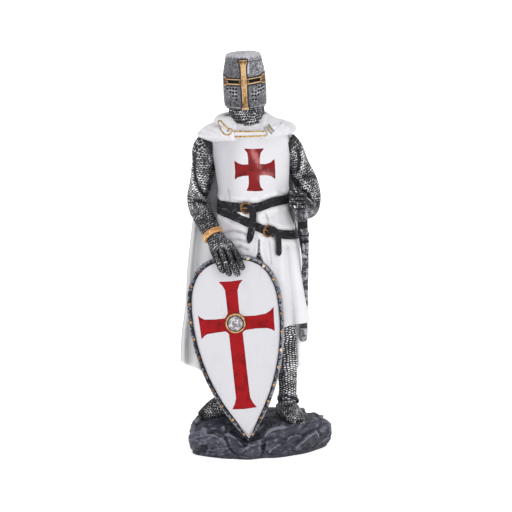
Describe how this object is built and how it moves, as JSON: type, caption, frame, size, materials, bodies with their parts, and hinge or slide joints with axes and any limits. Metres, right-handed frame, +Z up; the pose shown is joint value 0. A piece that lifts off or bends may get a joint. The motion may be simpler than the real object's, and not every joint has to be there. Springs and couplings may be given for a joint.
{
  "type": "knight statue",
  "caption": "Painted cast figurine of a medieval knight in great helm, mail and white surcoat, resting one hand on a kite shield, on a rock plinth.",
  "frame": {"origin": "centre of the rock plinth's flat underside", "axes": "+Z up along the figure, the knight faces -Y, +X towards the sword"},
  "size_m": [0.0803, 0.0524, 0.2117],
  "materials": {
    "rock_paint": "matt",
    "white_cloth_paint": "satin",
    "shield_paint": "satin",
    "black_leather_paint": "satin",
    "mail_paint": "dry-brushed silver over black",
    "helm_paint": "silver paint with a dark wash",
    "gold_paint": "satin gold paint"
  },
  "bodies": {
    "root": {"rock_base": "rock_paint", "knight": "white_cloth_paint", "kite_shield": "shield_paint", "sheathed_sword": "black_leather_paint"}
  },
  "joints": []
}
